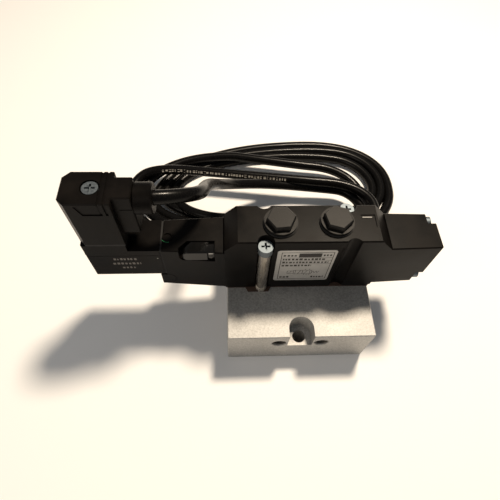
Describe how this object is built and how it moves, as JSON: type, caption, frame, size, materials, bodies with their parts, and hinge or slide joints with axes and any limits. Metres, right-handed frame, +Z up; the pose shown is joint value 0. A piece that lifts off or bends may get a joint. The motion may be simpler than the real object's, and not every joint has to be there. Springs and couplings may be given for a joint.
{
  "type": "solenoid pilot valve on sub-base",
  "caption": "Solenoid-piloted spool valve clamped to an aluminium sub-base, with hexagonal port plugs, manual override slide, square plug connector, cable gland and a loosely coiled lead.",
  "frame": {"origin": "on the underside of the sub-base, below the middle of the valve body", "axes": "+X along the valve towards the end cap, +Y from the sub-base's front face to its rear face, +Z up"},
  "size_m": [0.1722, 0.1508, 0.0955],
  "materials": {
    "cast_aluminium": "fine-grained satin, machined slot",
    "gasket_rubber": "rough dark brown rubber",
    "black_die_cast": "black satin coating over die casting",
    "black_plastic": "moulded black plastic, fine texture",
    "gloss_black_plastic": "polished black moulding",
    "zinc_steel": "bright zinc plating",
    "sleeve_steel": "drawn steel tube",
    "label_foil": "satin printed foil",
    "plug_metal": "dark grainy blackened metal",
    "seal_rubber": "black nitrile rubber",
    "anodised_spool": "ground and anodised",
    "piston_plastic": "natural acetal",
    "spring_steel": "drawn wire",
    "soft_iron": "turned steel",
    "brass": "turned brass",
    "tinned_contacts": "tin-plated brass",
    "winding_wire": "enamelled copper wire",
    "core_insulation": "insulated cores",
    "ferrule_tin": "tin-plated crimp",
    "cable_sheath": "black PVC sheath"
  },
  "bodies": {
    "valve": {"sub_base": "cast_aluminium", "base_gasket": "gasket_rubber", "valve_body": "black_die_cast", "end_cap": "black_plastic", "pilot_adapter": "black_plastic", "solenoid_housing": "black_plastic", "plug_housing": "black_plastic", "contact_block": "black_plastic", "gland_nut": "black_plastic", "clamp_screws": "zinc_steel", "end_cap_screws": "zinc_steel", "adapter_screws": "zinc_steel", "solenoid_screws": "zinc_steel", "plug_screw": "zinc_steel", "clamp_sleeves": "sleeve_steel", "label_plate": "label_foil", "port_plugs": "plug_metal", "plug_seals": "seal_rubber", "end_cap_gasket": "seal_rubber", "adapter_gasket": "seal_rubber", "solenoid_gasket": "seal_rubber", "plug_gasket": "seal_rubber", "gland_seal": "seal_rubber", "bobbin": "piston_plastic", "return_spring": "spring_steel", "armature_spring": "spring_steel", "yoke": "soft_iron", "core_tube": "soft_iron", "fixed_core": "soft_iron", "gland_washer": "soft_iron", "pilot_seat": "brass", "terminal_insert": "brass", "terminal_blades": "tinned_contacts", "terminal_sockets": "tinned_contacts", "coil_winding": "winding_wire", "connector_cores": "core_insulation", "tail_cores": "core_insulation", "core_ferrules": "ferrule_tin", "cable_lead": "cable_sheath", "cable_coil": "cable_sheath", "cable_tail": "cable_sheath"},
    "spool_train": {"spool": "anodised_spool", "spool_seals": "seal_rubber", "pilot_piston": "piston_plastic", "piston_seal": "seal_rubber"},
    "armature_unit": {"armature": "soft_iron", "armature_seal": "seal_rubber"},
    "override": {"override_slider": "gloss_black_plastic", "override_pin": "zinc_steel"}
  },
  "joints": [
    {"name": "spool_slide", "type": "slide", "parent": "valve", "child": "spool_train", "axis": [1, 0, 0], "range_m": [0, 0.004], "stiffness_N_per_m": 1500, "springref_m": -0.006, "deforming": ["return_spring"]},
    {"name": "armature_slide", "type": "slide", "parent": "valve", "child": "armature_unit", "axis": [-1, 0, 0], "range_m": [0, 0.0008], "stiffness_N_per_m": 600, "springref_m": -0.002, "deforming": ["armature_spring"]},
    {"name": "override_slide", "type": "slide", "parent": "valve", "child": "override", "axis": [-1, 0, 0], "range_m": [0, 0.0015]}
  ]
}
